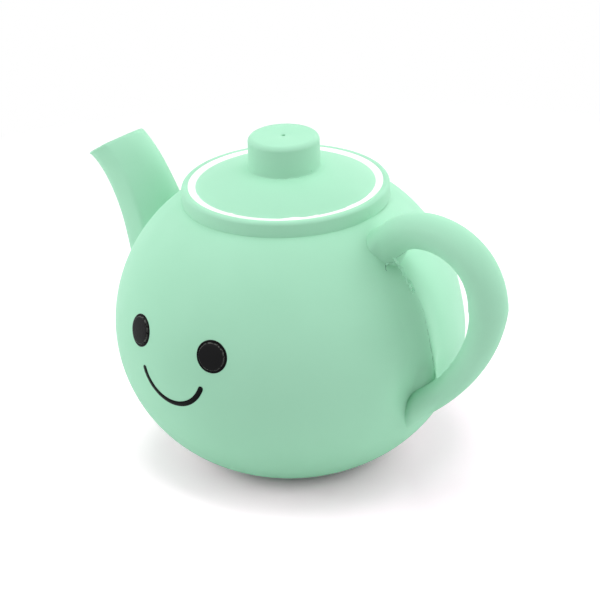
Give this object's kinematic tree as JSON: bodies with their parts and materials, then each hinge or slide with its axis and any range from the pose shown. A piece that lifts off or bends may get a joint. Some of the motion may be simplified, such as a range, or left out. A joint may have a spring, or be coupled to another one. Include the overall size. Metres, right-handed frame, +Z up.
{
  "type": "squeaking toy teapot",
  "caption": "Round mint-green rubber squeeze toy shaped like a teapot, with a painted smiling face, curved spout, ear-shaped handle and a domed lid that can be pushed in.",
  "frame": {"origin": "on the pot's axis, in the plane of its flat base", "axes": "+Z up, +X towards the handle, -X towards the spout, -Y towards the face"},
  "size_m": [0.1405, 0.0926, 0.0879],
  "materials": {
    "mint_rubber": "matt mint-green latex",
    "white_paint": "hand-painted white line on a thin rubber web",
    "black_paint": "glossy black paint",
    "squeaker_plastic": "milky moulded plastic",
    "reed_brass": "plain thin brass"
  },
  "bodies": {
    "pot": {"pot_shell": "mint_rubber", "spout": "mint_rubber", "handle": "mint_rubber", "left_eye": "black_paint", "right_eye": "black_paint", "smile": "black_paint", "squeaker_cup": "squeaker_plastic", "squeaker_cap": "squeaker_plastic", "reed_sleeve": "reed_brass", "reed_channel": "squeaker_plastic", "reed_wedge": "squeaker_plastic"},
    "top": {"collar": "mint_rubber", "lid_line": "white_paint"},
    "lid": {"lid": "mint_rubber", "knob": "mint_rubber"},
    "reed": {"reed_strip": "reed_brass"}
  },
  "joints": [
    {"name": "squeeze", "type": "slide", "parent": "pot", "child": "top", "axis": [0, 0, -1], "range_m": [0, 0.01], "stiffness_N_per_m": 800, "deforming": ["pot_shell", "spout", "handle", "left_eye", "right_eye", "smile"]},
    {"name": "lid_press", "type": "slide", "parent": "top", "child": "lid", "axis": [0, 0, -1], "range_m": [0, 0.005], "stiffness_N_per_m": 500, "deforming": ["lid_line"]},
    {"name": "reed_flutter", "type": "hinge", "parent": "pot", "child": "reed", "pos_m": [0, 0, 0.0027], "axis": [1, 0, 0], "range_deg": [-1.2, 3.5], "stiffness_Nm_per_rad": 0.0001}
  ]
}
